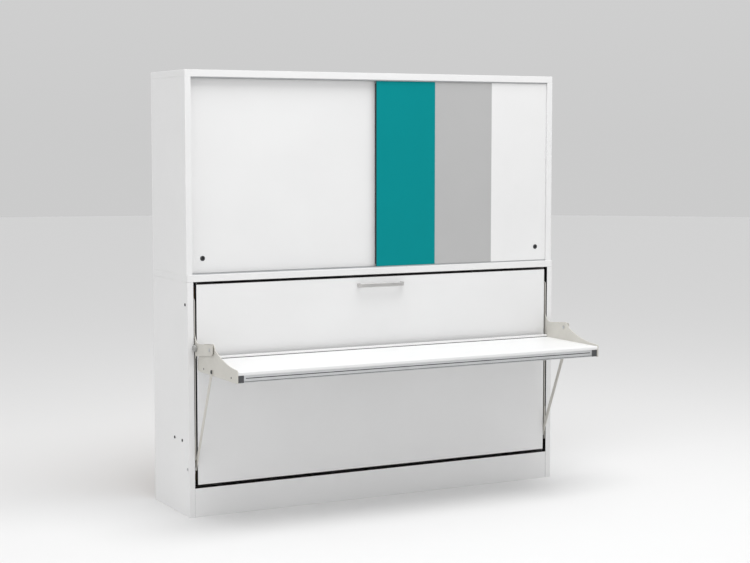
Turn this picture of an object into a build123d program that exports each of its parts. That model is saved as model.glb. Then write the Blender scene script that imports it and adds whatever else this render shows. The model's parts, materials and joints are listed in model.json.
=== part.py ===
from build123d import *
import math
import os

os.makedirs("parts", exist_ok=True)

# A horizontal wall bed: the bed folds down out of the base cabinet, a desk rides on
# its front and stays level, and a shallow hutch with sliding doors stands on top.
# Millimetres. +X is to the right, +Y towards the wall, +Z up. The origin is at floor
# level, midway across the width and midway between the desk's front and the wall.

# ---- driving dimensions of the cabinet ------------------------------------------
width = 2040.0
base_depth = 459.0
desk_reach = 485.0
side_thickness = 30.0
top_thickness = 32.0
base_height = 1149.0
hutch_height = 957.0
hutch_setback = 10.0
plinth_height = 138.0
plinth_thickness = 22.0
back_thickness = 8.0
wall_rail_thickness = 14.0
wall_rail_height = 100.0
wall_hole_spacing = 1600.0
wall_hole_radius = 4.5
shelf_thickness = 22.0
shelf_front = 75.0
board_ease = 0.6

half = width / 2
inner = half - side_thickness
front = (desk_reach - base_depth) / 2
back_face = base_depth - back_thickness - wall_rail_thickness
side_top = base_height - top_thickness
hutch_top_low = base_height + hutch_height - top_thickness
total_height = base_height + hutch_height

# ---- driving dimensions of the bed ----------------------------------------------
side_gap = 15.0
panel_recess = 3.0
panel_thickness = 22.0
panel_low = 153.0
panel_high = 1105.0
rail_depth = 36.0
rail_width = 30.0
rail_low = 168.0
rail_high = 1090.0
rail_ease = 2.0
slat_count = 13
slat_pitch = 140.0
slat_width = 80.0
slat_thickness = 8.0
slat_inset = 16.0
mattress_length = 1900.0
mattress_thickness = 165.0
mattress_low = 180.0
mattress_high = 1076.0
mattress_round = 22.0
strap_width = 50.0
strap_thickness = 2.0
strap_spacing = 1160.0

panel_half = inner - side_gap
panel_back = panel_recess + panel_thickness
rail_back = panel_back + rail_depth
slat_back = rail_back + slat_thickness
mattress_back = slat_back + mattress_thickness

# ---- linkage: pivots as (depth behind the cabinet's front, height) ----------------
bed_pivot = (26.0, 330.0)
link_pivot = (17.0, 229.0)
desk_pivot = (-183.0, 818.0)
link_joint = (
    desk_pivot[0] - bed_pivot[0] + link_pivot[0],
    desk_pivot[1] - bed_pivot[1] + link_pivot[1],
)
strut_lever = 80.0
strut_lever_angle = -30.0
strut_eye = (
    bed_pivot[0] + strut_lever * math.cos(math.radians(strut_lever_angle)),
    bed_pivot[1] + strut_lever * math.sin(math.radians(strut_lever_angle)),
)
strut_mount = (96.0, 760.0)
plate_bolts = ((183.0, 358.0), (84.0, 358.0))
catch_bolt = (31.0, 1010.0)

# Layers across the side gap, measured inwards from a side board's inner face.
plate_thickness = 3.0
arm_inset = 4.0
link_inset = 9.4
bracket_inset = 13.4
strut_inset = 27.0
sheet_thickness = 4.0
link_thickness = 3.2
link_face_inset = link_inset + link_thickness
arm_face_inset = arm_inset + sheet_thickness
desk_face_inset = bracket_inset + sheet_thickness
running_clearance = 0.05
end_play = 0.4
head_thickness = 2.0
low_head_thickness = 1.6
desk_half = inner - desk_face_inset

# ---- desk ------------------------------------------------------------------------
desk_low = 735.0
desk_thickness = 18.0
desk_front = -482.0
desk_front_round = 6.0
lip_thickness = 12.0
lip_height = 13.0
desk_back = -20.0
bracket_low = 700.0
rail_drop = 33.0
end_cap_width = 31.0

# ---- sliding doors ----------------------------------------------------------------
door_width = 1000.0
door_thickness = 18.0
facing_thickness = 4.0
front_door_depth = 19.0
rear_door_depth = 42.0
track_plate = 2.0
track_rib = 3.0
track_slot = 5.0
door_gap = 6.0
glider_thickness = 4.0
glider_length = 60.0
glider_mortise = 12.0
pull_inset = 63.0
pull_height = 1224.0

door_low = base_height + door_gap
door_high = hutch_top_low - door_gap
door_edge = inner - 1.0


def finish(piece, label):
    """Label a finished sub-part and write it to its own file."""
    piece.part.label = label
    export_step(piece.part, f"parts/{label}.step")


def at(depth, height):
    """Y and Z of a point given by its depth behind the cabinet's front."""
    return (front + depth, height)


def sides():
    """Both sides, each with its name and its sign along X."""
    return (("left", -1), ("right", 1))


def side_plane(sign, inset, thickness):
    """Plane across X at the low-X face of a layer inside a side board."""
    outer_face = sign * (inner - inset)
    return Plane.YZ.offset(outer_face if sign < 0 else outer_face - thickness)


def board(label, x_span, depth_span, z_span, ease=board_ease):
    """A rectangular board that fills the three spans, with eased edges."""
    corner = (x_span[0], front + depth_span[0], z_span[0])
    size = (x_span[1] - x_span[0], depth_span[1] - depth_span[0], z_span[1] - z_span[0])
    with BuildPart(Plane(corner)) as piece:
        Box(*size, align=Align.MIN)
        chamfer(piece.edges(), ease)
    finish(piece, label)


def turned(sign, centre, steps):
    """A pin along X from coaxial steps, each (start inset, end inset, radius)."""
    with BuildPart() as pin:
        for start, end, radius in steps:
            with BuildSketch(side_plane(sign, start, end - start)):
                with Locations(at(*centre)):
                    Circle(radius)
            extrude(amount=end - start)
    return pin.part


# ---- base cabinet -----------------------------------------------------------------
bolt_radius = 4.0
bolt_head_radius = 7.0
bolt_head_height = 2.0
bolt_socket_radius = 3.0
bolt_socket_depth = 1.4
link_pin_radius = 5.0


def base_side(label, sign):
    """A side board with the holes of its bolts and of the link's pivot."""
    with BuildPart(Plane((min(sign * half, sign * inner), front, 0))) as piece:
        Box(side_thickness, base_depth, side_top, align=Align.MIN)
        chamfer(piece.edges(), board_ease)
        with BuildSketch(side_plane(sign, -side_thickness, side_thickness)):
            with Locations(*[at(*spot) for spot in (*plate_bolts, catch_bolt)]):
                Circle(bolt_radius)
            with Locations(at(*link_pivot)):
                Circle(link_pin_radius)
        extrude(amount=side_thickness, mode=Mode.SUBTRACT)
    finish(piece, label)


for side_name, side_sign in sides():
    base_side(f"base_side_{side_name}", side_sign)

board("base_top", (-half, half), (0, base_depth), (side_top, base_height), ease=1.0)
board("base_plinth", (-inner, inner), (0, plinth_thickness), (0, plinth_height))


def wall_holes(height):
    """The two bores that the wall screws take at one height."""
    with BuildPart() as bores:
        with BuildSketch(Plane.XZ.offset(-front - base_depth)):
            with Locations((-wall_hole_spacing / 2, height), (wall_hole_spacing / 2, height)):
                Circle(wall_hole_radius)
        extrude(amount=back_thickness + wall_rail_thickness)
    return bores.part


def back_board(label, low, high):
    """A thin back with the holes that the wall screws pass through."""
    with BuildPart() as piece:
        with Locations((-inner, front + back_face, low)):
            Box(2 * inner, back_thickness, high - low, align=Align.MIN)
        add(wall_holes(high - wall_rail_height / 2), mode=Mode.SUBTRACT)
    finish(piece, label)


back_board("base_back", 0, side_top)
back_board("hutch_back", base_height, hutch_top_low)

with BuildPart() as wall_rails:
    for rail_top in (side_top, hutch_top_low):
        with Locations((0, front + base_depth, rail_top)):
            Box(2 * inner, wall_rail_thickness, wall_rail_height,
                align=(Align.CENTER, Align.MAX, Align.MAX))
        add(wall_holes(rail_top - wall_rail_height / 2), mode=Mode.SUBTRACT)
finish(wall_rails, "wall_rails")

# ---- hutch --------------------------------------------------------------------------
shelf_height = base_height + (hutch_height - top_thickness - shelf_thickness) / 2
divider_half = shelf_thickness / 2

for side_name, side_sign in sides():
    span = sorted((side_sign * half, side_sign * inner))
    board(f"hutch_side_{side_name}", span, (hutch_setback, base_depth),
          (base_height, hutch_top_low))

board("hutch_top", (-half, half), (hutch_setback, base_depth),
      (hutch_top_low, total_height), ease=1.0)
board("hutch_divider", (-divider_half, divider_half), (shelf_front, back_face),
      (base_height, hutch_top_low))

with BuildPart() as shelves:
    with Locations((-inner, front + shelf_front, shelf_height),
                   (divider_half, front + shelf_front, shelf_height)):
        Box(inner - divider_half, back_face - shelf_front, shelf_thickness, align=Align.MIN)
finish(shelves, "shelves")

bracket_leg = 40.0
bracket_sheet = 3.0
bracket_run = 30.0
bracket_depths = (330.0, 395.0)

with BuildPart() as corner_brackets:
    for side_sign in (-1, 1):
        for ceiling in (side_top, hutch_top_low):
            for depth in bracket_depths:
                with BuildSketch(Plane.XZ.offset(-front - depth)):
                    with Locations((side_sign * inner, ceiling)):
                        Rectangle(2 * bracket_leg, 2 * bracket_leg)
                        Rectangle(2 * (bracket_leg + 1), 4 * bracket_leg,
                                  align=(Align.MIN if side_sign > 0 else Align.MAX,
                                         Align.CENTER), mode=Mode.SUBTRACT)
                        Rectangle(4 * bracket_leg, 2 * bracket_leg,
                                  align=(Align.CENTER, Align.MIN), mode=Mode.SUBTRACT)
                    with Locations((side_sign * (inner - bracket_sheet),
                                    ceiling - bracket_sheet)):
                        Rectangle(bracket_leg, bracket_leg,
                                  align=(Align.MAX if side_sign > 0 else Align.MIN,
                                         Align.MAX), mode=Mode.SUBTRACT)
                extrude(amount=-bracket_run)
finish(corner_brackets, "corner_brackets")

# ---- door tracks ----------------------------------------------------------------------
door_centres = (front_door_depth + door_thickness / 2, rear_door_depth + door_thickness / 2)
track_margin = 12.0
track_front = door_centres[0] - track_margin
track_back = door_centres[1] + track_margin
rib_thickness = 2.0


def track(label, seat, up):
    """An aluminium track: a plate with a ribbed slot for each door."""
    with BuildPart() as piece:
        with BuildSketch(Plane.YZ.offset(-inner)):
            plate_low = seat if up > 0 else seat - track_plate
            with Locations((front + track_front, plate_low)):
                Rectangle(track_back - track_front, track_plate, align=Align.MIN)
            rib_low = seat + track_plate if up > 0 else seat - track_plate - track_rib
            for centre in door_centres:
                for offset_y in (-track_slot / 2 - rib_thickness, track_slot / 2):
                    with Locations((front + centre + offset_y, rib_low)):
                        Rectangle(rib_thickness, track_rib, align=Align.MIN)
        extrude(amount=2 * inner)
    finish(piece, label)


track("track_bottom", base_height, 1)
track("track_top", hutch_top_low, -1)

# ---- bolts, plates and pivots on the cabinet ---------------------------------------------


def side_bolt(sign, centre, steps):
    """A bolt through a side board: its socket head outside, then the given steps."""
    head_inset = -side_thickness - bolt_head_height
    with BuildPart() as bolt:
        add(turned(sign, centre, [(head_inset, -side_thickness, bolt_head_radius), *steps]))
        with BuildSketch(side_plane(sign, head_inset, bolt_socket_depth)):
            with Locations(at(*centre)):
                RegularPolygon(bolt_socket_radius, 6)
        extrude(amount=bolt_socket_depth, mode=Mode.SUBTRACT)
    return bolt.part


with BuildPart() as side_bolts:
    for side_sign in (-1, 1):
        for spot in (*plate_bolts, catch_bolt):
            add(side_bolt(side_sign, spot, [(-side_thickness, 0, bolt_radius)]))
finish(side_bolts, "side_bolts")

link_flange_radius = 8.0
with BuildPart() as link_pivots:
    for side_sign in (-1, 1):
        add(side_bolt(side_sign, link_pivot, [
            (-side_thickness, plate_thickness, link_pin_radius),
            (plate_thickness, link_inset - end_play, link_flange_radius),
            (link_inset - end_play, link_face_inset + end_play, link_pin_radius),
            (link_face_inset + end_play, link_face_inset + end_play + low_head_thickness,
             link_flange_radius),
        ]))
finish(link_pivots, "link_pivots")

plate_outline = (
    (4.0, 204.0), (36.0, 204.0), (70.0, 318.0), (205.0, 334.0), (205.0, 382.0), (4.0, 382.0),
)
plate_corners = (10.0, 10.0, 30.0, 12.0, 12.0, 10.0)


# A steel plate on each side board carries the bed's pivot and backs the link's pivot.
with BuildPart() as pivot_plates:
    for side_sign in (-1, 1):
        with BuildSketch(side_plane(side_sign, 0, plate_thickness)):
            with BuildLine():
                FilletPolyline(*[at(*point) for point in plate_outline],
                               radius=plate_corners, close=True)
            make_face()
            with Locations(at(*link_pivot)):
                Circle(link_pin_radius, mode=Mode.SUBTRACT)
        extrude(amount=plate_thickness)
finish(pivot_plates, "pivot_plates")

bed_pin_radius = 10.0
bed_pin_shoulder = 16.0
bed_pin_head = 14.0
with BuildPart() as bed_pivots:
    for side_sign in (-1, 1):
        add(turned(side_sign, bed_pivot, [
            (plate_thickness, arm_inset - end_play, bed_pin_shoulder),
            (arm_inset - end_play, arm_face_inset + end_play, bed_pin_radius),
            (arm_face_inset + end_play, arm_face_inset + end_play + head_thickness,
             bed_pin_head),
        ]))
finish(bed_pivots, "bed_pivots")

strut_pin_radius = 5.0
strut_base_radius = 20.0
strut_pin_head = 8.0
strut_eye_half = 5.0
stud_shoulder = strut_inset - strut_eye_half - end_play
stud_head = strut_inset + strut_eye_half + end_play
with BuildPart() as strut_mounts:
    for side_sign in (-1, 1):
        add(turned(side_sign, strut_mount, [
            (0, plate_thickness, strut_base_radius),
            (plate_thickness, stud_shoulder, strut_pin_head),
            (stud_shoulder, stud_head, strut_pin_radius),
            (stud_head, stud_head + head_thickness, strut_pin_head),
        ]))
finish(strut_mounts, "strut_mounts")

catch_width = 30.0
catch_height = 50.0
catch_thickness = arm_inset - end_play
with BuildPart() as catch_magnets:
    for side_sign in (-1, 1):
        with BuildSketch(side_plane(side_sign, 0, catch_thickness)):
            with Locations(at(*catch_bolt)):
                RectangleRounded(catch_width, catch_height, 4)
        extrude(amount=catch_thickness)
finish(catch_magnets, "catch_magnets")

# ---- bed ------------------------------------------------------------------------------
board("bed_front", (-panel_half, panel_half), (panel_recess, panel_back),
      (panel_low, panel_high), ease=0.8)

arm_screw_radius = 2.5
arm_screw_head = 6.0
arm_screw_length = 18.0
arm_screw_spots = ((40.0, 440.0), (40.0, 690.0), (40.0, 950.0))


def frame_end(label, sign):
    """An end rail of the bed frame, bored for the screws of the arm."""
    corner = (min(sign * panel_half, sign * (panel_half - rail_width)),
              front + panel_back, rail_low)
    with BuildPart() as piece:
        with Locations(corner):
            Box(rail_width, rail_depth, rail_high - rail_low, align=Align.MIN)
        chamfer(piece.edges().filter_by(Axis.Z), rail_ease)
        with BuildSketch(side_plane(sign, side_gap, arm_screw_length)):
            with Locations(*[at(*spot) for spot in arm_screw_spots]):
                Circle(arm_screw_radius)
        extrude(amount=arm_screw_length, mode=Mode.SUBTRACT)
    finish(piece, label)


for side_name, side_sign in sides():
    frame_end(f"frame_end_{side_name}", side_sign)

rail_half = panel_half - rail_width
rail_joint = 0.1
middle_rail_length = rail_high - rail_low - 2 * (rail_depth + rail_joint)
with BuildPart() as frame_rails:
    rail_y = front + panel_back + rail_depth / 2
    with Locations((0, rail_y, rail_low + rail_depth / 2), (0, rail_y, rail_high - rail_depth / 2)):
        Box(2 * rail_half, rail_depth, rail_depth)
    with Locations((0, rail_y, (rail_low + rail_high) / 2)):
        Box(rail_depth, rail_depth, middle_rail_length)
finish(frame_rails, "frame_rails")

with BuildPart() as slats:
    slat_length = rail_high - rail_low - 2 * slat_inset
    with BuildSketch(Plane.XZ.offset(-front - rail_back)):
        with Locations((0, (rail_low + rail_high) / 2)):
            with GridLocations(slat_pitch, 1, slat_count, 1):
                RectangleRounded(slat_width, slat_length, 10)
    extrude(amount=-slat_thickness)
finish(slats, "slats")

mattress_gap = 0.5
mattress_front = slat_back + mattress_gap
mattress_centre = (mattress_low + mattress_high) / 2
with BuildPart() as mattress:
    with BuildSketch(Plane.YZ.offset(-mattress_length / 2)):
        with Locations(at((mattress_front + mattress_back) / 2, mattress_centre)):
            RectangleRounded(mattress_back - mattress_front, mattress_high - mattress_low,
                             mattress_round)
    extrude(amount=mattress_length)
    fillet(mattress.edges().group_by(Axis.X)[0], 8)
    fillet(mattress.edges().group_by(Axis.X)[-1], 8)
finish(mattress, "mattress")

strap_gap = 0.3


def strap_outline(grow, mode):
    """The mattress's rear half, grown outwards, mirrored about the frame's back."""
    RectangleRounded(2 * (mattress_back + grow - rail_back),
                     mattress_high - mattress_low + 2 * grow, mattress_round + grow,
                     mode=mode)


with BuildPart() as straps:
    for strap_x in (-strap_spacing / 2, strap_spacing / 2):
        with BuildSketch(Plane.YZ.offset(strap_x - strap_width / 2)):
            with Locations(at(rail_back, mattress_centre)):
                strap_outline(strap_gap + strap_thickness, Mode.ADD)
                strap_outline(strap_gap, Mode.SUBTRACT)
                Rectangle(mattress_high, 2 * mattress_high,
                          align=(Align.MAX, Align.CENTER), mode=Mode.SUBTRACT)
        extrude(amount=strap_width)
finish(straps, "mattress_straps")

arm_outline = (
    (4.0, 266.0), (118.0, 266.0), (118.0, 314.0), (58.0, 352.0), (58.0, 1040.0),
    (4.0, 1040.0), (4.0, 828.0), (-214.0, 843.0), (-214.0, 795.0), (4.0, 768.0),
)
arm_corners = (18.0, 18.0, 20.0, 30.0, 14.0, 14.0, 50.0, 8.0, 14.0, 20.0)
desk_pin_radius = 5.0
strut_slot_radii = (54.7, 80.0)
strut_slot_width = 20.5


def bed_arm(label, sign):
    """The steel arm on the bed's end: its pivot bore, strut slot and desk pivot."""
    slot_radius = sum(strut_slot_radii) / 2
    slot_angle = math.radians(strut_lever_angle)
    slot_centre = (bed_pivot[0] + slot_radius * math.cos(slot_angle),
                   bed_pivot[1] + slot_radius * math.sin(slot_angle))
    with BuildPart() as piece:
        with BuildSketch(side_plane(sign, arm_inset, sheet_thickness)):
            with BuildLine():
                FilletPolyline(*[at(*point) for point in arm_outline],
                               radius=arm_corners, close=True)
            make_face()
            with Locations(at(*bed_pivot)):
                Circle(bed_pin_radius + running_clearance, mode=Mode.SUBTRACT)
            with Locations(at(*desk_pivot)):
                Circle(desk_pin_radius, mode=Mode.SUBTRACT)
            with Locations(*[at(*spot) for spot in arm_screw_spots]):
                Circle(arm_screw_radius, mode=Mode.SUBTRACT)
            with Locations(at(*slot_centre)):
                SlotCenterToCenter(strut_slot_radii[1] - strut_slot_radii[0],
                                   strut_slot_width, rotation=strut_lever_angle,
                                   mode=Mode.SUBTRACT)
        extrude(amount=sheet_thickness)
    finish(piece, label)


for side_name, side_sign in sides():
    bed_arm(f"bed_arm_{side_name}", side_sign)

with BuildPart() as arm_screws:
    for side_sign in (-1, 1):
        for spot in arm_screw_spots:
            add(turned(side_sign, spot, [
                (arm_inset - head_thickness, arm_inset, arm_screw_head),
                (arm_inset, side_gap + arm_screw_length, arm_screw_radius),
            ]))
finish(arm_screws, "arm_screws")

spacer_radius = 9.0
with BuildPart() as arm_spacers:
    for side_sign in (-1, 1):
        for spot in arm_screw_spots:
            add(turned(side_sign, spot, [(arm_face_inset, side_gap, spacer_radius)]))
            add(turned(side_sign, spot, [(arm_face_inset, side_gap, arm_screw_radius)]),
                mode=Mode.SUBTRACT)
finish(arm_spacers, "arm_spacers")

# A plastic bumper on each arm closes against the side board's front edge.
bumper_radius = 16.5
bumper_centre = (-17.0, 808.0)
bumper_overlap = 10.0
bumper_round = 2.0
with BuildPart() as bumpers:
    for side_sign in (-1, 1):
        add(turned(side_sign, bumper_centre, [(-bumper_overlap, arm_inset, bumper_radius)]))
    fillet(bumpers.edges().filter_by(GeomType.CIRCLE), bumper_round)
finish(bumpers, "arm_bumpers")

handle_half = 126.0
handle_reach = 33.0
handle_bar = 9.0
handle_foot = 14.0
handle_height = 19.0
handle_centre = 1066.0
handle_ease = 2.5
handle_face = front + panel_recess
with BuildPart() as handle:
    with BuildSketch(Plane.XY.offset(handle_centre - handle_height / 2)):
        with Locations((0, handle_face)):
            RectangleRounded(2 * handle_half, 2 * handle_reach, 18)
            RectangleRounded(2 * (handle_half - handle_foot),
                             2 * (handle_reach - handle_bar), 10, mode=Mode.SUBTRACT)
            Rectangle(3 * handle_half, 3 * handle_reach,
                      align=(Align.CENTER, Align.MIN), mode=Mode.SUBTRACT)
    extrude(amount=handle_height)
    rims = handle.edges().filter_by(Axis.Z, reverse=True)
    fillet(rims.filter_by_position(Axis.Y, -desk_reach, handle_face - 1), handle_ease)
finish(handle, "bed_handle")

desk_pin_head = 8.0
with BuildPart() as desk_pivots:
    for side_sign in (-1, 1):
        add(turned(side_sign, desk_pivot, [
            (arm_inset - head_thickness, arm_inset, desk_pin_head),
            (arm_inset, arm_face_inset, desk_pin_radius),
            (arm_face_inset, bracket_inset - end_play, desk_pin_head),
            (bracket_inset - end_play, desk_face_inset + end_play, desk_pin_radius),
            (desk_face_inset + end_play, desk_face_inset + end_play + head_thickness,
             desk_pin_head),
        ]))
finish(desk_pivots, "desk_pivots")

# ---- desk -------------------------------------------------------------------------------
desk_high = desk_low + desk_thickness
with BuildPart(Plane((-desk_half, front + desk_front, desk_low))) as desk:
    Box(2 * desk_half, desk_back - lip_thickness - desk_front, desk_thickness, align=Align.MIN)
    fillet(desk.edges().filter_by(Axis.X).group_by(Axis.Y)[0], desk_front_round)
finish(desk, "desk_top")

board("desk_lip", (-desk_half, desk_half), (desk_back - lip_thickness, desk_back),
      (desk_low, desk_high + lip_height), ease=1.0)

# The front rail is a hollow extrusion with two grooves along its thick front wall.
front_rail_depth = 80.0
front_rail_face = -477.0
rail_wall = 3.0
rail_front_wall = 9.0
groove_height = 3.4
groove_depth = 6.0
groove_rows = ((722.0, 40.0), (706.5, 32.0))
rail_bottom = desk_low - rail_drop
front_rail_half = desk_half - end_cap_width
with BuildPart() as front_rail:
    with BuildSketch(Plane.YZ.offset(-front_rail_half)):
        with Locations(at(front_rail_face, rail_bottom)):
            Rectangle(front_rail_depth, rail_drop, align=Align.MIN)
        with Locations(at(front_rail_face + rail_front_wall, rail_bottom + rail_wall)):
            Rectangle(front_rail_depth - rail_front_wall - rail_wall,
                      rail_drop - 2 * rail_wall, align=Align.MIN, mode=Mode.SUBTRACT)
    extrude(amount=2 * front_rail_half)
    for groove_z, groove_start in groove_rows:
        with Locations((0, front + front_rail_face, groove_z)):
            Box(2 * (desk_half - groove_start), 2 * groove_depth, groove_height,
                mode=Mode.SUBTRACT)
finish(front_rail, "desk_front_rail")

cap_screw_radius = 2.5
screw_height = desk_low - rail_drop / 2
screw_spots = ((-86.0, screw_height), (-413.0, screw_height))
desk_screw_head = 5.0
with BuildPart() as end_caps:
    for side_sign in (-1, 1):
        with Locations((side_sign * (desk_half - end_cap_width / 2),
                        front + front_rail_face + front_rail_depth / 2,
                        rail_bottom + rail_drop / 2)):
            Box(end_cap_width, front_rail_depth, rail_drop)
        with BuildSketch(side_plane(side_sign, desk_face_inset, end_cap_width)):
            with Locations(at(*screw_spots[1])):
                Circle(cap_screw_radius)
        extrude(amount=end_cap_width, mode=Mode.SUBTRACT)
finish(end_caps, "desk_end_caps")

rear_rail_depth = 33.0
with BuildPart() as rear_rail:
    with BuildSketch(Plane.YZ.offset(-desk_half)):
        with Locations(at(*screw_spots[0])):
            RectangleRounded(rear_rail_depth, rail_drop, 2)
            Circle(cap_screw_radius, mode=Mode.SUBTRACT)
    extrude(amount=2 * desk_half)
finish(rear_rail, "desk_rear_rail")

bracket_path = (
    (-224.0, 822.0), (-208.0, 847.0), (-90.0, 836.0), (-12.0, 752.0), (-10.0, bracket_low),
    (-desk_reach, bracket_low), (-desk_reach, 759.0), (-466.0, 761.0),
)
bracket_corners = (12.0, 8.0, 16.0, 14.0, 4.0, 8.0)
bracket_sweep = (-342.0, 778.0)
joint_pin_radius = 4.0


def desk_bracket(label, sign):
    """The steel end bracket of the desk, concave above and flat below."""
    with BuildPart() as piece:
        with BuildSketch(side_plane(sign, bracket_inset, sheet_thickness)):
            with BuildLine():
                FilletPolyline(*[at(*point) for point in bracket_path], radius=bracket_corners)
                ThreePointArc(at(*bracket_path[-1]), at(*bracket_sweep), at(*bracket_path[0]))
            make_face()
            with Locations(at(*desk_pivot)):
                Circle(desk_pin_radius + running_clearance, mode=Mode.SUBTRACT)
            with Locations(at(*link_joint)):
                Circle(joint_pin_radius, mode=Mode.SUBTRACT)
            with Locations(*[at(*spot) for spot in screw_spots]):
                Circle(cap_screw_radius, mode=Mode.SUBTRACT)
        extrude(amount=sheet_thickness)
        with BuildSketch(side_plane(sign, bracket_inset, low_head_thickness)):
            with Locations(*[at(*spot) for spot in screw_spots]):
                Circle(desk_screw_head)
        extrude(amount=low_head_thickness, mode=Mode.SUBTRACT)
    finish(piece, label)


for side_name, side_sign in sides():
    desk_bracket(f"desk_bracket_{side_name}", side_sign)

desk_screw_length = 20.0
with BuildPart() as desk_screws:
    for side_sign in (-1, 1):
        for spot in screw_spots:
            add(turned(side_sign, spot, [
                (bracket_inset, bracket_inset + low_head_thickness, desk_screw_head),
                (bracket_inset + low_head_thickness, desk_face_inset + desk_screw_length,
                 cap_screw_radius),
            ]))
finish(desk_screws, "desk_screws")

joint_cap_radius = 9.5
joint_head_radius = 7.0
joint_cap_inset = link_inset - end_play
with BuildPart() as link_joints:
    for side_sign in (-1, 1):
        add(turned(side_sign, link_joint, [
            (joint_cap_inset - head_thickness, joint_cap_inset, joint_cap_radius),
            (joint_cap_inset, link_face_inset + end_play, joint_pin_radius),
            (link_face_inset + end_play, bracket_inset, joint_head_radius),
            (bracket_inset, desk_face_inset, joint_pin_radius),
            (desk_face_inset, desk_face_inset + head_thickness, joint_head_radius),
        ]))
finish(link_joints, "link_joints")

foot_radius = 13.0
foot_thickness = 3.0
with BuildPart() as desk_feet:
    for side_sign in (-1, 1):
        for foot_x, foot_depth in ((desk_half - 15, -440.0), (desk_half - 40, screw_spots[0][0])):
            with Locations((side_sign * foot_x, front + foot_depth, rail_bottom)):
                Cylinder(foot_radius, foot_thickness,
                         align=(Align.CENTER, Align.CENTER, Align.MAX))
finish(desk_feet, "desk_feet")

# ---- links and gas struts ------------------------------------------------------------------
link_bar_width = 20.0


def link(label, sign):
    """The flat bar that keeps the desk level, from the cabinet to the desk bracket."""
    rise = link_joint[1] - link_pivot[1]
    run = link_joint[0] - link_pivot[0]
    middle = ((link_joint[0] + link_pivot[0]) / 2, (link_joint[1] + link_pivot[1]) / 2)
    with BuildPart() as piece:
        with BuildSketch(side_plane(sign, link_inset, link_thickness)):
            with Locations(at(*middle)):
                SlotCenterToCenter(math.hypot(run, rise), link_bar_width,
                                   rotation=math.degrees(math.atan2(rise, run)))
            with Locations(at(*link_pivot)):
                Circle(link_pin_radius + running_clearance, mode=Mode.SUBTRACT)
            with Locations(at(*link_joint)):
                Circle(joint_pin_radius + running_clearance, mode=Mode.SUBTRACT)
        extrude(amount=link_thickness)
    finish(piece, label)


for side_name, side_sign in sides():
    link(f"link_{side_name}", side_sign)

tube_radius = 9.0
tube_eye_radius = 10.0
tube_neck_radius = 4.5
tube_bore = 7.5
tube_start = 13.0
tube_end = 254.0
tube_wall_end = 6.0
gland_length = 12.0
strut_rod_radius = 4.0
piston_radius = 7.4
piston_start = 222.0
piston_length = 10.0
slot_washer_radius = 12.0
slot_washer_inset = arm_face_inset + end_play
rod_eye_radius = 8.0
strut_run = strut_eye[0] - strut_mount[0]
strut_rise = strut_eye[1] - strut_mount[1]
strut_length = math.hypot(strut_run, strut_rise)


def strut_axis(sign, distance):
    """Plane across the strut at a distance from its upper eye, facing the lower eye."""
    direction = Vector(0, strut_run / strut_length, strut_rise / strut_length)
    middle = Vector(sign * (inner - strut_inset), *at(*strut_mount))
    return Plane(origin=middle + direction * distance, x_dir=(1, 0, 0), z_dir=direction)


def strut_bar(sign, distance, radius, length):
    """A length of round bar along the strut's axis, from a distance below its upper eye."""
    with BuildPart() as bar:
        with BuildSketch(strut_axis(sign, distance)):
            Circle(radius)
        extrude(amount=length)
    return bar.part


def strut_tube(label, sign):
    """The strut's cylinder, its gland and the eye on the cabinet's stud."""
    eye_span = (strut_inset - strut_eye_half, strut_inset + strut_eye_half)
    bore_start = tube_start + tube_wall_end
    gland_start = tube_end - gland_length
    with BuildPart() as piece:
        add(strut_bar(sign, 0, tube_neck_radius, bore_start))
        add(turned(sign, strut_mount, [(*eye_span, tube_eye_radius)]))
        add(strut_bar(sign, tube_start, tube_radius, tube_end - tube_start))
        add(strut_bar(sign, bore_start, tube_bore, gland_start - bore_start),
            mode=Mode.SUBTRACT)
        add(strut_bar(sign, gland_start, strut_rod_radius + running_clearance, gland_length),
            mode=Mode.SUBTRACT)
        add(turned(sign, strut_mount, [(*eye_span, strut_pin_radius + running_clearance)]),
            mode=Mode.SUBTRACT)
    finish(piece, label)


def strut_rod(label, sign):
    """The strut's piston rod with the pin that runs in the arm's slot."""
    with BuildPart() as piece:
        add(strut_bar(sign, piston_start, piston_radius, piston_length))
        add(strut_bar(sign, piston_start, strut_rod_radius, strut_length - piston_start))
        add(turned(sign, strut_eye, [
            (arm_inset - end_play, slot_washer_inset, strut_rod_radius),
            (slot_washer_inset, slot_washer_inset + head_thickness, slot_washer_radius),
            (slot_washer_inset + head_thickness, strut_inset - strut_eye_half,
             strut_rod_radius),
            (strut_inset - strut_eye_half, strut_inset + strut_eye_half, rod_eye_radius),
        ]))
    finish(piece, label)


for side_name, side_sign in sides():
    strut_tube(f"strut_tube_{side_name}", side_sign)
    strut_rod(f"strut_rod_{side_name}", side_sign)

# ---- sliding doors ----------------------------------------------------------------------------
pull_radius = 10.0
pull_flange = 12.0
pull_proud = 1.2
pull_depth = 10.0
pull_recess = 8.5
pull_floor = 1.6
glider_reach = door_gap - track_plate - end_play
glider_end = 80.0
facing_ease = 0.4


def door_panel(label, x_low, depth, thickness, centre, pull_x, recess):
    """A door board with the grooves for its gliders and the pull's blind hole."""
    with BuildPart(Plane((x_low, front + depth, door_low))) as piece:
        Box(door_width, thickness, door_high - door_low, align=Align.MIN)
        chamfer(piece.edges(), board_ease)
        with Locations((door_width / 2, centre - depth, 0),
                       (door_width / 2, centre - depth, door_high - door_low)):
            Box(door_width, glider_thickness, 2 * glider_mortise, mode=Mode.SUBTRACT)
        with BuildSketch(Plane.XZ.offset(-front - depth)):
            with Locations((pull_x, pull_height)):
                Circle(pull_radius)
        extrude(amount=-recess, mode=Mode.SUBTRACT)
    finish(piece, label)


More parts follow.
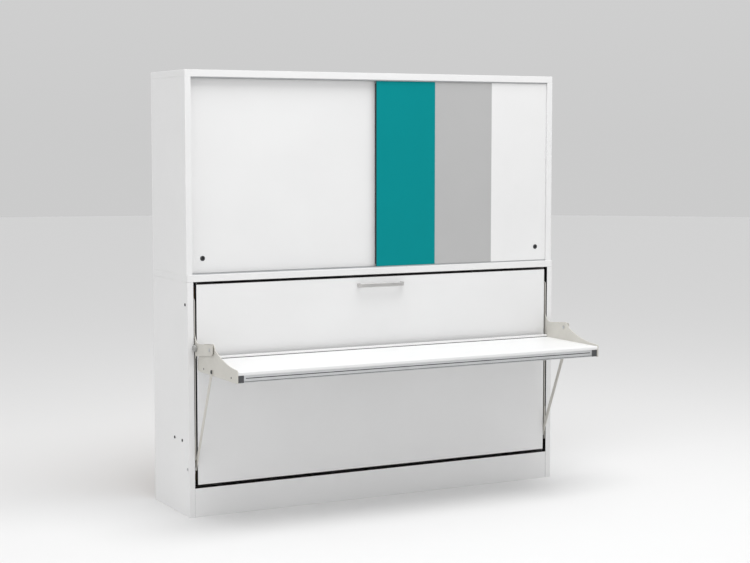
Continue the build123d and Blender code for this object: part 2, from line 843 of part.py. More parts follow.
def door_gliders(label, x_low, centre):
    """Nylon gliders in the door's grooves, two below and two above."""
    with BuildPart() as piece:
        for end_x in (x_low + glider_end, x_low + door_width - glider_end):
            for low in (door_low - glider_reach, door_high - glider_mortise):
                with Locations((end_x, front + centre, low)):
                    Box(glider_length, glider_thickness, glider_mortise + glider_reach,
                        align=(Align.CENTER, Align.CENTER, Align.MIN))
    finish(piece, label)


def door_pull(label, pull_x, face):
    """A round flush pull with a thin flange and a hollow for the fingertip."""
    with BuildPart() as piece:
        with BuildSketch(Plane.XZ.offset(-front - face + pull_proud)):
            with Locations((pull_x, pull_height)):
                Circle(pull_flange)
        extrude(amount=-pull_proud)
        with BuildSketch(Plane.XZ.offset(-front - face)):
            with Locations((pull_x, pull_height)):
                Circle(pull_radius)
        extrude(amount=-pull_depth)
        with BuildSketch(Plane.XZ.offset(-front - face + pull_proud)):
            with Locations((pull_x, pull_height)):
                Circle(pull_recess)
        extrude(amount=-(pull_depth + pull_proud - pull_floor), mode=Mode.SUBTRACT)
    finish(piece, label)


core_depth = front_door_depth + facing_thickness
rear_door_low = -door_edge
front_door_low = door_edge - door_width
rear_pull_x = pull_inset - door_edge
front_pull_x = door_edge - pull_inset

door_panel("door_left", rear_door_low, rear_door_depth, door_thickness, door_centres[1],
           rear_pull_x, pull_depth)
door_panel("door_right", front_door_low, core_depth, door_thickness - facing_thickness,
           door_centres[0], front_pull_x, pull_depth - facing_thickness)
door_gliders("door_gliders_left", rear_door_low, door_centres[1])
door_gliders("door_gliders_right", front_door_low, door_centres[0])
door_pull("door_pull_left", rear_pull_x, rear_door_depth)
door_pull("door_pull_right", front_pull_x, front_door_depth)

# Three equal strips face the front door: teal, grey and white from left to right.
facing_names = ("facing_teal", "facing_grey", "facing_white")
facing_width = door_width / len(facing_names)
for strip, facing_name in enumerate(facing_names):
    strip_low = front_door_low + strip * facing_width
    with BuildPart(Plane((strip_low, front + front_door_depth, door_low))) as facing:
        Box(facing_width, facing_thickness, door_high - door_low, align=Align.MIN)
        chamfer(facing.edges(), facing_ease)
        if facing_name == facing_names[-1]:
            with BuildSketch(Plane.XZ.offset(-front - front_door_depth)):
                with Locations((front_pull_x, pull_height)):
                    Circle(pull_radius)
            extrude(amount=-facing_thickness, mode=Mode.SUBTRACT)
    finish(facing, facing_name)
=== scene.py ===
import json
import math

import bmesh
import bpy
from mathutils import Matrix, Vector
from mathutils.bvhtree import BVHTree


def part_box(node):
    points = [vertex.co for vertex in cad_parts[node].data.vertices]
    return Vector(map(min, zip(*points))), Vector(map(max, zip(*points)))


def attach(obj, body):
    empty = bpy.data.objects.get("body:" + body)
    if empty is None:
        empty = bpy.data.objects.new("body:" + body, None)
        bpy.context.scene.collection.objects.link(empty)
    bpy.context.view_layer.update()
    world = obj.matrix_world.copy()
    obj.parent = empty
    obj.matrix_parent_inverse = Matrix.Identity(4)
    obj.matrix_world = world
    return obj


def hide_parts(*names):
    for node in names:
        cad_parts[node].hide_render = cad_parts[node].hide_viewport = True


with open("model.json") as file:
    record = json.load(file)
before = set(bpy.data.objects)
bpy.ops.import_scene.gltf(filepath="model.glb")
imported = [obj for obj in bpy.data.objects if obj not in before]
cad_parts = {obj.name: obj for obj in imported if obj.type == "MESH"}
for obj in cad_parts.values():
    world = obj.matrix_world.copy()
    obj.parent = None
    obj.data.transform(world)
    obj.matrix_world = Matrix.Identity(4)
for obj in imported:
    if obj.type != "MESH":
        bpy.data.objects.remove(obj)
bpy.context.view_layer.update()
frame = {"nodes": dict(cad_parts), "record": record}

nodes = frame["nodes"]
scene = bpy.context.scene


# ---- small helpers for node materials --------------------------------------------------

class Look:
    """A new material with its Principled shader and the row-frame coordinates."""

    def __init__(self, name, color, roughness, metallic=0.0, **sockets):
        self.material = bpy.data.materials.new(name)
        self.material.use_nodes = True
        self.tree = self.material.node_tree
        self.shader = self.tree.nodes["Principled BSDF"]
        self.set(self.shader, "Base Color", (*color, 1.0))
        self.set(self.shader, "Roughness", roughness)
        self.set(self.shader, "Metallic", metallic)
        for socket, value in sockets.items():
            self.set(self.shader, socket.replace("_", " "), value)
        coordinates = self.tree.nodes.new("ShaderNodeTexCoord").outputs
        self.place = coordinates["Object"]
        self.normal = coordinates["Normal"]

    def set(self, node, socket, value):
        node.inputs[socket].default_value = value

    def add(self, kind, settings=None, **inputs):
        node = self.tree.nodes.new("ShaderNode" + kind)
        for key, value in (settings or {}).items():
            setattr(node, key, value)
        for key, value in inputs.items():
            socket = node.inputs[int(key[1:]) if key[0] == "_" else key.replace("_", " ")]
            if isinstance(value, bpy.types.NodeSocket):
                self.tree.links.new(value, socket)
            else:
                socket.default_value = value
        return node

    def link(self, source, socket):
        self.tree.links.new(source, self.shader.inputs[socket])

    def stretched(self, scale):
        return self.add("Mapping", Vector=self.place, Scale=scale).outputs["Vector"]

    def noise(self, scale, detail=2.0, rough=0.5, vector=None):
        node = self.add("TexNoise", Vector=vector or self.place, Scale=scale, Detail=detail,
                        Roughness=rough)
        return node.outputs["Fac"]

    def span(self, value, low, high, start=0.0, end=1.0):
        """Maps a value from start..end to low..high."""
        node = self.add("MapRange", Value=value, From_Min=start, From_Max=end, To_Min=low,
                        To_Max=high)
        return node.outputs["Result"]

    def math(self, operation, first, second=0.0):
        return self.add("Math", {"operation": operation}, _0=first, _1=second).outputs[0]

    def ramp(self, value, stops):
        node = self.add("ValToRGB", Fac=value)
        elements = node.color_ramp.elements
        for element, (position, color) in zip(elements, (stops[0], stops[-1])):
            element.position = position
            element.color = (*color, 1.0)
        for position, color in stops[1:-1]:
            elements.new(position).color = (*color, 1.0)
        return node.outputs["Color"]

    def part(self, vector, axis):
        return self.add("SeparateXYZ", Vector=vector).outputs[axis]

    def below(self, value, limit):
        return self.math("LESS_THAN", value, limit)

    def above(self, value, limit):
        return self.math("GREATER_THAN", value, limit)

    def both(self, first, second):
        return self.math("MULTIPLY", first, second)

    def mix(self, factor, first, second, blend="MIX"):
        node = self.add("Mix", {"data_type": "RGBA", "blend_type": blend}, _0=factor, _6=first,
                        _7=second)
        return node.outputs[2]

    def bump(self, height, strength, distance, below=None):
        inputs = {"Height": height, "Strength": strength, "Distance": distance}
        if below is not None:
            inputs["Normal"] = below
        normal = self.add("Bump", **inputs).outputs["Normal"]
        self.link(normal, "Normal")
        return normal


def tinted(color, factor):
    return tuple(min(1.0, part * factor) for part in color)


# Black for the door's real edge trim, and also painted shade in the gaps round the bed's panel, in
# the rail's grooves and along the desk's lip.
BLACK_TRIM_AND_SHADE = (0.010, 0.010, 0.011, 1.0)


def laminate(name, color, roughness=0.38, pressed=0.05, mottle=0.012, gloss=0.35, trim_and_shade=None):
    """Melamine-faced board: fine pressed texture, barely uneven tone, and a black band if asked,
    which is black edge trim on some boards and painted shade on others.
    """
    look = Look(name, color, roughness, Specular_IOR_Level=gloss)
    cloud = look.noise(2.3, 3.0)
    tone = look.ramp(cloud, [(0.35, tinted(color, 1 - mottle)), (0.65, tinted(color, 1 + mottle))])
    if trim_and_shade:
        tone = look.mix(trim_and_shade(look), tone, BLACK_TRIM_AND_SHADE)
    look.link(tone, "Base Color")
    look.link(look.span(look.noise(9.0, 4.0), roughness - 0.05, roughness + 0.06), "Roughness")
    look.bump(look.noise(260.0, 3.0, 0.6), pressed, 0.0003)
    return look.material


def hardboard(name, color, raw):
    """A thin back: painted inside, raw pressed fibre on the face towards the wall."""
    look = Look(name, color, 0.6, Specular_IOR_Level=0.3)
    fibre = look.noise(340.0, 4.0, 0.7)
    cloud = look.noise(6.0, 4.0)
    fleck = look.ramp(fibre, [(0.3, tinted(raw, 0.72)), (0.7, tinted(raw, 1.22))])
    patch = look.ramp(cloud, [(0.3, (0.86, 0.86, 0.86)), (0.7, (1.0, 1.0, 1.0))])
    wall_side = look.above(look.part(look.normal, "Y"), 0.5)
    raw_tone = look.mix(1.0, fleck, patch, "MULTIPLY")
    look.link(look.mix(wall_side, (*color, 1.0), raw_tone), "Base Color")
    look.link(look.span(fibre, 0.5, 0.72), "Roughness")
    look.bump(fibre, 0.15, 0.0004)
    return look.material


def powder_coat(name, color, roughness=0.45):
    """Satin powder coat on steel: a tight pebble with faint tonal drift."""
    look = Look(name, color, roughness, Specular_IOR_Level=0.5)
    tone = look.ramp(look.noise(14.0, 4.0),
                     [(0.3, tinted(color, 0.96)), (0.7, tinted(color, 1.03))])
    look.link(tone, "Base Color")
    look.link(look.span(look.noise(30.0, 3.0), roughness - 0.06, roughness + 0.08), "Roughness")
    look.bump(look.noise(900.0, 2.0, 0.55), 0.16, 0.0004)
    return look.material


def brushed(name, color, roughness, along, metallic=1.0, strength=0.12, trim_and_shade=None):
    """Metal with fine lines drawn along one axis of the row frame."""
    look = Look(name, color, roughness, metallic)
    scale = tuple(4.0 if axis == along else 900.0 for axis in "xyz")
    lines = look.noise(1.0, 3.0, 0.6, look.stretched(scale))
    look.link(look.span(lines, roughness - 0.08, roughness + 0.12), "Roughness")
    smudge = look.noise(11.0, 3.0)
    tone = look.ramp(smudge, [(0.3, tinted(color, 0.93)), (0.7, tinted(color, 1.04))])
    # a black band, if asked, is painted shade in the rail's grooves
    if trim_and_shade:
        tone = look.mix(trim_and_shade(look), tone, BLACK_TRIM_AND_SHADE)
    look.link(tone, "Base Color")
    look.bump(lines, strength, 0.0003)
    return look.material


def plain_metal(name, color, roughness, metallic=1.0, grain=420.0, strength=0.08):
    """Plated or blackened steel with a slightly uneven, cloudy finish."""
    look = Look(name, color, roughness, metallic)
    cloud = look.noise(60.0, 4.0)
    tone = look.ramp(cloud, [(0.3, tinted(color, 0.8)), (0.7, tinted(color, 1.15))])
    look.link(tone, "Base Color")
    look.link(look.span(look.noise(140.0, 3.0), roughness - 0.07, roughness + 0.1), "Roughness")
    look.bump(look.noise(grain, 3.0), strength, 0.0004)
    return look.material


def moulded(name, color, roughness=0.5, grain=1100.0, strength=0.2):
    """Moulded plastic or rubber with a spark-eroded grain."""
    look = Look(name, color, roughness, Specular_IOR_Level=0.45)
    cells = look.add("TexVoronoi", Vector=look.place, Scale=grain).outputs["Distance"]
    fine = look.noise(grain * 1.7, 2.0)
    look.link(look.span(look.noise(25.0, 3.0), roughness - 0.06, roughness + 0.08), "Roughness")
    tone = look.ramp(look.noise(18.0, 2.0), [(0.3, tinted(color, 0.88)), (0.7, tinted(color, 1.1))])
    look.link(tone, "Base Color")
    look.bump(look.math("ADD", cells, fine), strength, 0.0003)
    return look.material


def timber(name, light, dark, along, rings=26.0, roughness=0.55, ply=False):
    """Planed wood: drawn-out growth bands with fine pores along the grain."""
    look = Look(name, light, roughness, Specular_IOR_Level=0.4)
    coarse_scale = tuple(0.9 if axis == along else rings for axis in "xyz")
    coarse = look.stretched(coarse_scale)
    drift = look.noise(1.3, 3.0, 0.5, coarse)
    bands = look.add("TexWave", {"wave_type": "RINGS", "rings_direction": along.upper()},
                     Vector=coarse, Scale=0.55, Distortion=7.0, Detail=3.0,
                     Detail_Scale=1.2).outputs["Fac"]
    figure = look.math("ADD", look.math("MULTIPLY", bands, 0.55), look.math("MULTIPLY", drift, 0.5))
    tone = look.ramp(figure, [(0.2, light), (0.62, tinted(light, 0.86)), (0.9, dark)])
    pore_scale = tuple(28.0 if axis == along else 1500.0 for axis in "xyz")
    pores = look.noise(1.0, 2.0, 0.6, look.stretched(pore_scale))
    fleck = look.ramp(pores, [(0.3, (0.80, 0.78, 0.74)), (0.5, (1.0, 1.0, 1.0))])
    tone = look.mix(1.0, tone, fleck, "MULTIPLY")
    if ply:
        layers = look.add("TexWave", {"bands_direction": "Y"}, Vector=look.place, Scale=98.0,
                          Distortion=0.4, Detail=1.0).outputs["Fac"]
        edge_tone = look.ramp(layers, [(0.35, tinted(light, 0.95)), (0.6, tinted(dark, 0.8))])
        on_edge = look.below(look.math("ABSOLUTE", look.part(look.normal, "Y")), 0.5)
        tone = look.mix(on_edge, tone, edge_tone)
    look.link(tone, "Base Color")
    look.link(look.span(pores, roughness + 0.1, roughness - 0.05), "Roughness")
    look.bump(pores, 0.12, 0.0005)
    return look.material


def ticking(name, color):
    """Knitted mattress ticking: small interlocked loops and a soft sheen."""
    look = Look(name, color, 0.86, Sheen_Weight=0.25, Sheen_Roughness=0.5,
                Specular_IOR_Level=0.2)
    across = look.add("TexWave", {"bands_direction": "X"}, Vector=look.place, Scale=150.0,
                      Distortion=1.2, Detail=1.0).outputs["Fac"]
    along = look.add("TexWave", {"bands_direction": "DIAGONAL"}, Vector=look.place, Scale=120.0,
                     Distortion=1.0, Detail=1.0).outputs["Fac"]
    knit = look.math("MULTIPLY", across, along)
    damask = look.add("TexVoronoi", {"feature": "SMOOTH_F1"}, Vector=look.place,
                      Scale=34.0).outputs[0]
    tone = look.ramp(damask, [(0.15, tinted(color, 1.05)), (0.55, tinted(color, 0.93))])
    shade = look.ramp(knit, [(0.0, (0.86, 0.86, 0.86)), (0.6, (1.0, 1.0, 1.0))])
    look.link(look.mix(1.0, tone, shade, "MULTIPLY"), "Base Color")
    relief = look.math("ADD", knit, look.math("MULTIPLY", damask, 0.8))
    look.bump(relief, 0.45, 0.0008)
    return look.material


def webbing(name, color):
    """Woven strap: a tight herringbone."""
    look = Look(name, color, 0.7, Sheen_Weight=0.2, Specular_IOR_Level=0.3)
    warp = look.add("TexWave", {"bands_direction": "X"}, Vector=look.place, Scale=190.0,
                    Distortion=0.3).outputs["Fac"]
    weft = look.add("TexWave", {"bands_direction": "DIAGONAL"}, Vector=look.place, Scale=120.0,
                    Distortion=0.3).outputs["Fac"]
    weave = look.math("MULTIPLY", warp, weft)
    tone = look.ramp(weave, [(0.05, tinted(color, 0.5)), (0.7, tinted(color, 1.5))])
    look.link(tone, "Base Color")
    look.bump(weave, 0.6, 0.0008)
    return look.material


WHITE = (0.80, 0.80, 0.80)
TEAL = (0.0, 0.245, 0.262)
GREY = (0.46, 0.46, 0.46)
DESK_WHITE = (0.84, 0.84, 0.84)
ALUMINIUM = (0.66, 0.67, 0.68)
WARM_GREY = (0.60, 0.585, 0.54)

# Where the dark lines lie: colour masks placed by the pieces' own corners. The black bands in the
# gaps round the bed's panel, in the rail's grooves and along the desk's lip are painted shade; the
# door's edge bands are black trim.
EDGE = 0.0006
ROUNDED_EDGE = 0.72
GAP_SHADE_DEPTH = 0.03
side_low, side_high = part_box("base_side_right")
gap_shade_end = side_low.y + GAP_SHADE_DEPTH
plinth_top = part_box("base_plinth")[1].z
teal_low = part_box("facing_teal")[0].x


def panel_gap_shade(look):
    """Painted shade: the bed's front panel is black on its edges all round, in the gaps about it.
    """
    return look.below(look.math("ABSOLUTE", look.part(look.normal, "Y")), ROUNDED_EDGE)


def side_gap_shade(look):
    """Painted shade: black on a side board's inner face, in the gap beside the bed's panel."""
    inward = look.below(look.math("ABSOLUTE", look.part(look.place, "X")), side_low.x + EDGE)
    return look.both(inward, look.below(look.part(look.place, "Y"), gap_shade_end))


def top_gap_shade(look):
    """Painted shade: black under the base's top, in the gap above the bed's panel."""
    under = look.below(look.part(look.place, "Z"), side_high.z + EDGE)
    return look.both(under, look.below(look.part(look.place, "Y"), gap_shade_end))


def plinth_gap_shade(look):
    """Painted shade: black on the plinth's upper edge, in the gap under the bed's panel."""
    return look.above(look.part(look.place, "Z"), plinth_top - EDGE)


def door_ends(look):
    """Black edge band on the upright edges of the front door."""
    return look.above(look.math("ABSOLUTE", look.part(look.normal, "X")), 0.5)


def outer_left_edge(look):
    """The same edge band on the free edge of the teal strip."""
    return look.below(look.part(look.place, "X"), teal_low + EDGE)


RAIL_SKIN = 0.0012
RAIL_WALL = 0.0085
RAIL_MARGIN = 0.004
LIP_SHADE_WIDTH = 0.003
rail_low, rail_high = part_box("desk_front_rail")
desk_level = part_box("desk_top")[1].z
lip_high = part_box("desk_lip")[1]


def rail_groove_shade(look):
    """Painted shade: black inside the two grooves along the desk's front rail."""
    depth = look.part(look.place, "Y")
    level = look.part(look.place, "Z")
    inside = look.both(look.above(depth, rail_low.y + RAIL_SKIN),
                       look.below(depth, rail_low.y + RAIL_WALL))
    within = look.both(look.above(level, rail_low.z + RAIL_MARGIN),
                       look.below(level, rail_high.z - RAIL_MARGIN))
    return look.both(inside, within)


def lip_shade_lines(look):
    """Painted shade lines at the foot of the desk's lip and along its rear edge, in the gap against
    the panel.
    """
    level = look.part(look.place, "Z")
    foot = look.both(look.above(level, desk_level), look.below(level, desk_level + LIP_SHADE_WIDTH))
    rear = look.above(look.part(look.place, "Y"), lip_high.y - LIP_SHADE_WIDTH)
    return look.math("MAXIMUM", foot, rear)


looks = {
    "white_board": laminate("white_melamine", WHITE),
    "teal_board": laminate("teal_melamine", TEAL, 0.5, gloss=0.08, trim_and_shade=outer_left_edge),
    "grey_board": laminate("grey_melamine", GREY, 0.45, gloss=0.2),
    "desk_board": laminate("desk_laminate", DESK_WHITE, 0.34, 0.02, 0.004),
    "steel_plate": powder_coat("grey_powder_coat", WARM_GREY),
    "aluminium": brushed("anodised_aluminium", ALUMINIUM, 0.34, "x"),
    "dark_plastic": moulded("dark_plastic", (0.075, 0.077, 0.082), 0.42),
    "grey_plastic": moulded("grey_plastic", (0.36, 0.36, 0.35), 0.45),
    "rubber": moulded("rubber", (0.05, 0.05, 0.05), 0.75, 700.0, 0.3),
    "black_steel": plain_metal("black_steel", (0.035, 0.035, 0.037), 0.42, 0.6),
    "zinc_steel": plain_metal("zinc_steel", (0.60, 0.61, 0.62), 0.36),
    "satin_nickel": brushed("satin_nickel", (0.62, 0.61, 0.60), 0.30, "x"),
    "strut_black": plain_metal("strut_enamel", (0.02, 0.02, 0.021), 0.25, 0.0),
    "chrome": brushed("polished_rod", (0.80, 0.80, 0.81), 0.10, "z", strength=0.03),
    "mattress_fabric": ticking("mattress_ticking", (0.78, 0.77, 0.74)),
    "webbing": webbing("strap_webbing", (0.055, 0.057, 0.062)),
    "piping": ticking("mattress_piping", (0.52, 0.53, 0.55)),
    "nylon": moulded("natural_nylon", (0.76, 0.76, 0.72), 0.4, 600.0, 0.08),
}
PINE = (0.70, 0.52, 0.32)
PINE_BAND = (0.46, 0.28, 0.13)
timber_ends = timber("pine_upright", PINE, PINE_BAND, "z")
timber_rails = timber("pine_rail", PINE, PINE_BAND, "x")
birch = timber("birch_slat", (0.76, 0.62, 0.43), (0.55, 0.39, 0.22), "z", 40.0, 0.4, ply=True)

fibre_back = hardboard("hardboard_back", (0.74, 0.74, 0.73), (0.36, 0.22, 0.12))
side_with_gap_shade = laminate("white_melamine_side", WHITE, trim_and_shade=side_gap_shade)
special = {
    "frame_end_left": timber_ends,
    "frame_end_right": timber_ends,
    "frame_rails": timber_rails,
    "slats": birch,
    "base_back": fibre_back,
    "hutch_back": fibre_back,
    # the black bands on the side boards, top, plinth, panel edges, rail grooves and lip are painted
    # shade
    "base_side_left": side_with_gap_shade,
    "base_side_right": side_with_gap_shade,
    "base_top": laminate("white_melamine_top", WHITE, trim_and_shade=top_gap_shade),
    "base_plinth": laminate("white_melamine_plinth", WHITE, trim_and_shade=plinth_gap_shade),
    "bed_front": laminate("white_melamine_panel", WHITE, trim_and_shade=panel_gap_shade),
    "door_right": laminate("white_melamine_door", WHITE, trim_and_shade=door_ends),
    "desk_front_rail": brushed("anodised_rail", ALUMINIUM, 0.34, "x", trim_and_shade=rail_groove_shade),
    "desk_lip": laminate("desk_lip_laminate", DESK_WHITE, 0.34, 0.02, 0.004, trim_and_shade=lip_shade_lines),
}
slot_of = {part["node"]: part["material_slot"] for part in frame["record"]["subparts"]}
for name, piece in nodes.items():
    look = special.get(name) or looks[slot_of[name]]
    for index in range(len(piece.data.materials)):
        piece.data.materials[index] = look


# ---- mattress and straps -----------------------------------------------------------------

def new_object(name, mesh):
    piece = bpy.data.objects.new(name, mesh)
    scene.collection.objects.link(piece)
    return piece


def evaluated_mesh(piece):
    bpy.context.view_layer.update()
    graph = bpy.context.evaluated_depsgraph_get()
    return bpy.data.meshes.new_from_object(piece.evaluated_get(graph))


def applied(piece):
    """Replaces a piece's mesh by what its modifiers make of it."""
    mesh = evaluated_mesh(piece)
    piece.modifiers.clear()
    piece.data = mesh


def dressed(piece, look):
    """Smooth shading and a material for a piece that rides on the bed."""
    for face in piece.data.polygons:
        face.use_smooth = True
    piece.data.materials.clear()
    piece.data.materials.append(look)
    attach(piece, "bed")


def block(name, low, high, bevel):
    """A box between two corners with rounded edges."""
    shape = bmesh.new()
    bmesh.ops.create_cube(shape, size=1.0)
    for vertex in shape.verts:
        vertex.co = Vector([a + (c + 0.5) * (b - a) for a, b, c in zip(low, high, vertex.co)])
    bmesh.ops.bevel(shape, geom=shape.edges, offset=bevel, segments=4, profile=0.5,
                    affect="EDGES")
    mesh = bpy.data.meshes.new(name)
    shape.to_mesh(mesh)
    shape.free()
    return new_object(name, mesh)


def turn(centre, radius, start, steps):
    """Points of a quarter turn from an angle in degrees."""
    angles = [math.radians(start + 90 * step / steps) for step in range(steps + 1)]
    return [(centre[0] + radius * math.cos(angle), centre[1] + radius * math.sin(angle))
            for angle in angles]


SIM_FRAMES = 20
SIM_PRESSURE = 4.0
SIM_MASS = 0.4
SIM_QUALITY = 3
MATTRESS_VOXEL = 0.013
MATTRESS_SLACK = 0.007
MATTRESS_SWELL = 0.012
MATTRESS_BEVEL = 0.024
CROWN = 0.004
COVER_GAP = 0.001
SLAT_GAP = 0.0005
FACE_LIMIT = 0.7
QUILT_PITCH = 0.165
QUILT_DEPTH = 0.0055
QUILT_WIDTH = 0.011
QUILT_MARGIN = 0.03
QUILT_FADE = 0.05
STRAP_WIDTH = 0.05
# how far from a strap's middle, in strap widths, the cover stands free of it again
RELEASED = 1.1
PRESSED = 0.55
STRAP_PRESS = 0.0005
mattress_low, mattress_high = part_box("mattress")
mattress_middle = (mattress_low + mattress_high) / 2
strap_low, strap_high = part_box("mattress_straps")
strap_centres = (strap_low.x + STRAP_WIDTH / 2, strap_high.x - STRAP_WIDTH / 2)


def swollen(piece):
    """Blows the cover up with a cloth simulation, then limits how far it moved."""
    before = [vertex.co.copy() for vertex in piece.data.vertices]
    cloth = piece.modifiers.new("Cloth", "CLOTH")
    cloth.settings.use_pressure = True
    cloth.settings.uniform_pressure_force = SIM_PRESSURE
    cloth.settings.effector_weights.gravity = 0.0
    cloth.settings.quality = SIM_QUALITY
    cloth.settings.mass = SIM_MASS
    cloth.collision_settings.use_collision = False
    cloth.point_cache.frame_start = 1
    cloth.point_cache.frame_end = SIM_FRAMES
    for step in range(1, SIM_FRAMES + 1):
        scene.frame_set(step)
    applied(piece)
    scene.frame_set(1)
    for vertex, start in zip(piece.data.vertices, before):
        move = vertex.co - start
        if move.length > MATTRESS_SWELL:
            vertex.co = start + move * (MATTRESS_SWELL / move.length)


def quilt_drop(x, z):
    """How deep the nearest diamond stitch line pulls the cover in."""
    diagonals = ((x + z) / math.sqrt(2), (x - z) / math.sqrt(2))
    away = min(abs((along / QUILT_PITCH) % 1.0 - 0.5) * QUILT_PITCH for along in diagonals)
    return QUILT_DEPTH * math.exp(-((away / QUILT_WIDTH) ** 2))


def roof_at(x):
    """How high the cover may stand at x: its crown, pressed flat under the straps."""
    pull = 0.0
    for centre in strap_centres:
        reach = abs(x - centre) / STRAP_WIDTH
        pull = max(pull, min(1.0, (RELEASED - reach) / PRESSED))
    return mattress_high.y + CROWN - (CROWN + STRAP_PRESS) * pull


def make_mattress():
    """A quilted foam mattress with a crowned cover, resting flat on its slats."""
    slack = Vector((MATTRESS_SLACK, MATTRESS_SLACK, MATTRESS_SLACK))
    low = mattress_low + slack
    high = mattress_high - slack
    low.y = mattress_low.y + COVER_GAP
    piece = block("mattress_cover", low, high, MATTRESS_BEVEL)
    remesh = piece.modifiers.new("Remesh", "REMESH")
    remesh.mode = "VOXEL"
    remesh.voxel_size = MATTRESS_VOXEL
    applied(piece)
    swollen(piece)
    finer = piece.modifiers.new("Subdivision", "SUBSURF")
    finer.levels = 1
    finer.render_levels = 1
    applied(piece)
    vertices = piece.data.vertices
    facing = [abs(vertex.normal.y) for vertex in vertices]
    lows = [min(vertex.co[axis] for vertex in vertices) for axis in range(3)]
    highs = [max(vertex.co[axis] for vertex in vertices) for axis in range(3)]
    crown = (mattress_high.y + CROWN - mattress_middle.y) / (highs[1] - mattress_middle.y)
    for vertex, upright in zip(vertices, facing):
        point = vertex.co
        # the simulation draws the ends in, so the cover is stretched back over its foam
        for axis in (0, 2):
            share = (point[axis] - lows[axis]) / (highs[axis] - lows[axis])
            length = mattress_high[axis] - mattress_low[axis] - 2 * COVER_GAP
            point[axis] = mattress_low[axis] + COVER_GAP + share * length
        if point.y > mattress_middle.y:
            point.y = mattress_middle.y + (point.y - mattress_middle.y) * crown
        if upright > FACE_LIMIT:
            edge = min(point.x - mattress_low.x, mattress_high.x - point.x,
                       point.z - mattress_low.z, mattress_high.z - point.z)
            fade = max(0.0, min(1.0, (edge - QUILT_MARGIN) / QUILT_FADE))
            drop = quilt_drop(point.x, point.z) * fade
            point.y += drop if point.y < mattress_middle.y else -drop
        point.y = max(mattress_low.y + SLAT_GAP, min(roof_at(point.x), point.y))
    dressed(piece, looks["mattress_fabric"])
    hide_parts("mattress")
    return piece


PIPING_RADIUS = 0.0038
PIPING_SUNK = 0.0015
PIPING_INSET = 0.002
PIPING_CORNER = 0.022
PIPING_STEP = 0.03
UNDER_SEAM = 0.008
UPPER_SEAM = 0.006


def seam_loop():
    """Points round the mattress's outline with rounded corners, as (x, z)."""
    reach = PIPING_INSET + PIPING_CORNER
    left, right = mattress_low.x + reach, mattress_high.x - reach
    foot, head = mattress_low.z + reach, mattress_high.z - reach
    loop = []
    for centre, start in (((right, head), 0), ((left, head), 90), ((left, foot), 180),
                          ((right, foot), 270)):
        loop += turn(centre, PIPING_CORNER, start, 8)
    points = []
    for (x, z), (next_x, next_z) in zip(loop, loop[1:] + loop[:1]):
        pieces = max(1, round(math.hypot(next_x - x, next_z - z) / PIPING_STEP))
        points += [(x + (next_x - x) * step / pieces, z + (next_z - z) * step / pieces)
                   for step in range(pieces)]
    return points


def make_piping(cover):
    """The corded seams where the mattress's faces meet its border, laid on the cover."""
    skin = BVHTree.FromPolygons([vertex.co for vertex in cover.data.vertices],
                                [face.vertices for face in cover.data.polygons])
    for side, depth in (("under", mattress_low.y + UNDER_SEAM),
                        ("upper", mattress_high.y - UPPER_SEAM)):
        curve = bpy.data.curves.new(side, "CURVE")
        curve.dimensions = "3D"
        curve.bevel_depth = PIPING_RADIUS
        curve.bevel_resolution = 3
        spline = curve.splines.new("POLY")
        loop = seam_loop()
        spline.points.add(len(loop) - 1)
        for knot, (x, z) in zip(spline.points, loop):
            spot, outward, _, _ = skin.find_nearest(Vector((x, depth, z)))
            knot.co = (*(spot - outward * PIPING_SUNK), 1.0)
        spline.use_cyclic_u = True
        line = new_object("seam", curve)
        mesh = evaluated_mesh(line)
        bpy.data.objects.remove(line)
        cord = new_object(f"mattress_piping_{side}", mesh)
        dressed(cord, looks["piping"])


STRAP_GAP = 0.0009
STRAP_CORNER = 0.0225
STRAP_STEP = 0.03
STRAP_HEM = 0.002
STRAP_THICKNESS = 0.0015
STRAP_ROWS = (-0.5, -0.49, -0.44, 0.0, 0.44, 0.49, 0.5)
BUCKLE_DROP = 0.17
BUCKLE_LIFT = 0.0006
BUCKLE_BEVEL = 0.002
BAR_HALF = (0.031, 0.003)
BAR_DEPTH = 0.0065
BAR_PITCH = 0.024
RAIL_PLACE = 0.0295
RAIL_HALF = (0.0035, 0.028)
RAIL_DEPTH = 0.0075
slat_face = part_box("slats")[0].y
strap_face = mattress_high.y + STRAP_GAP


def strap_path():
    """The band's line over the mattress from slats to slats, as (y, z)."""
    low = mattress_low.z - STRAP_GAP
    high = mattress_high.z + STRAP_GAP
    bend = strap_face - STRAP_CORNER
    path = [(slat_face, low)]
    path += turn((bend, low + STRAP_CORNER), STRAP_CORNER, -90, 8)
    path += turn((bend, high - STRAP_CORNER), STRAP_CORNER, 0, 8)
    path.append((slat_face, high))
    fine = [path[0]]
    for first, second in zip(path, path[1:]):
        pieces = max(1, int(math.dist(first, second) / STRAP_STEP))
        for step in range(1, pieces + 1):
            share = step / pieces
            fine.append(tuple(a + (b - a) * share for a, b in zip(first, second)))
    return fine


def make_strap(side, centre):
    shape = bmesh.new()
    rows = [[shape.verts.new((centre + part * (STRAP_WIDTH - STRAP_HEM), y, z))
             for part in STRAP_ROWS] for y, z in strap_path()]
    for first, second in zip(rows, rows[1:]):
        for a in range(len(STRAP_ROWS) - 1):
            shape.faces.new((first[a], second[a], second[a + 1], first[a + 1]))
    mesh = bpy.data.meshes.new("strap")
    shape.to_mesh(mesh)
    shape.free()
    strap = new_object(f"mattress_strap_{side}", mesh)
    thicken = strap.modifiers.new("Solidify", "SOLIDIFY")
    thicken.thickness = STRAP_THICKNESS
    thicken.offset = 1.0
    soften = strap.modifiers.new("Bevel", "BEVEL")
    soften.width = 0.0005
    soften.segments = 2
    applied(strap)
    dressed(strap, looks["webbing"])
    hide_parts("mattress_straps")


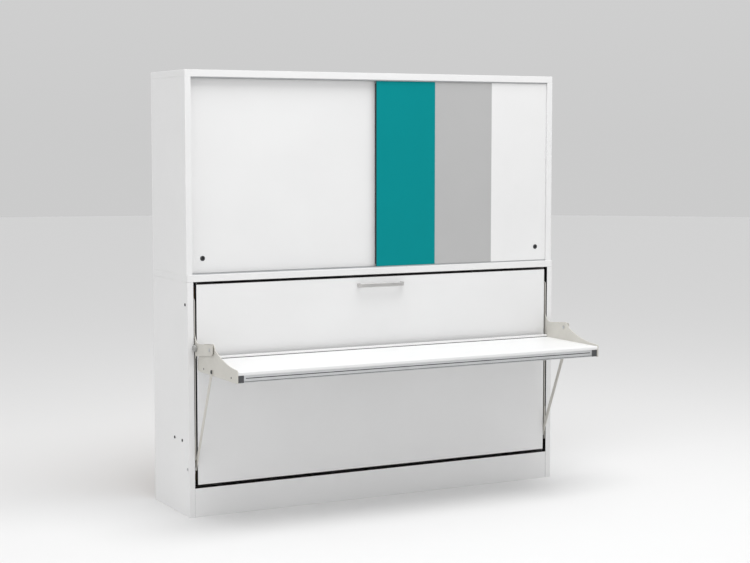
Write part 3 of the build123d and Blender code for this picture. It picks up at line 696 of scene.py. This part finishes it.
def buckle_part(name, centre, middle, half, depth):
    face = strap_face + BUCKLE_LIFT
    level = mattress_high.z - BUCKLE_DROP
    part = block(name, (centre + middle[0] - half[0], face, level + middle[1] - half[1]),
                 (centre + middle[0] + half[0], face + depth, level + middle[1] + half[1]),
                 BUCKLE_BEVEL)
    dressed(part, looks["dark_plastic"])


def make_buckle(side, centre):
    """A ladder-lock buckle: three bars between two rails."""
    for bar in range(3):
        buckle_part(f"strap_buckle_{side}_bar_{bar}", centre, (0.0, (bar - 1) * BAR_PITCH),
                    BAR_HALF, BAR_DEPTH)
    for end, sign in (("inner", -1), ("outer", 1)):
        buckle_part(f"strap_buckle_{side}_{end}", centre, (sign * RAIL_PLACE, 0.0),
                    RAIL_HALF, RAIL_DEPTH)


make_piping(make_mattress())
for strap_side, strap_centre in zip(("left", "right"), strap_centres):
    make_strap(strap_side, strap_centre)
    make_buckle(strap_side, strap_centre)


# ---- camera, floor and light -------------------------------------------------------------

camera = bpy.data.objects.new("camera", bpy.data.cameras.new("camera"))
scene.collection.objects.link(camera)
CAMERA_PLACE = (-3.8228, -7.1555, 1.7942)
LOOKS_DOWN = 5.0228
LOOKS_RIGHT = 27.8893
camera.location = CAMERA_PLACE
camera.rotation_euler = (math.radians(90 - LOOKS_DOWN), 0.0, -math.radians(LOOKS_RIGHT))
camera.data.lens = 78.96
camera.data.sensor_width = 36.0
scene.camera = camera

FLOOR_RADIUS = 30.0
floor_mesh = bpy.data.meshes.new("floor")
floor = bpy.data.objects.new("floor", floor_mesh)
scene.collection.objects.link(floor)
shape = bmesh.new()
bmesh.ops.create_circle(shape, cap_ends=True, segments=96, radius=FLOOR_RADIUS)
shape.to_mesh(floor_mesh)
shape.free()
floor_look = Look("floor", (0.82, 0.82, 0.82), 0.8, Specular_IOR_Level=0.1)
floor_mesh.materials.append(floor_look.material)

# The studio's dome is brighter overhead than at the horizon.
DOME_HORIZON = 0.60
DOME_ZENITH = 0.88
world = bpy.data.worlds.new("studio")
world.use_nodes = True
dome = world.node_tree
background = dome.nodes["Background"]
direction = dome.nodes.new("ShaderNodeTexCoord")
height = dome.nodes.new("ShaderNodeSeparateXYZ")
level = dome.nodes.new("ShaderNodeMapRange")
level.inputs["From Min"].default_value = 0.0
level.inputs["From Max"].default_value = 1.0
level.inputs["To Min"].default_value = DOME_HORIZON
level.inputs["To Max"].default_value = DOME_ZENITH
dome.links.new(direction.outputs["Generated"], height.inputs["Vector"])
dome.links.new(height.outputs["Z"], level.inputs["Value"])
dome.links.new(level.outputs["Result"], background.inputs["Strength"])
background.inputs["Color"].default_value = (1.0, 1.0, 1.0, 1.0)
scene.world = world
scene.view_settings.view_transform = "Standard"


def softbox(name, place, target, width, height, power):
    lamp = bpy.data.lights.new(name, "AREA")
    lamp.shape = "RECTANGLE"
    lamp.size = width
    lamp.size_y = height
    lamp.energy = power
    holder = bpy.data.objects.new(name, lamp)
    scene.collection.objects.link(holder)
    holder.location = place
    holder.rotation_euler = (Vector(target) - Vector(place)).to_track_quat("-Z", "Y").to_euler()


softbox("key", (0.3, -1.35, 5.2), (0.1, -0.3, 0.9), 4.6, 2.2, 132.0)
softbox("fill", (-7.0, -3.0, 3.5), (-1.0, 0.0, 0.9), 5.0, 4.0, 64.0)
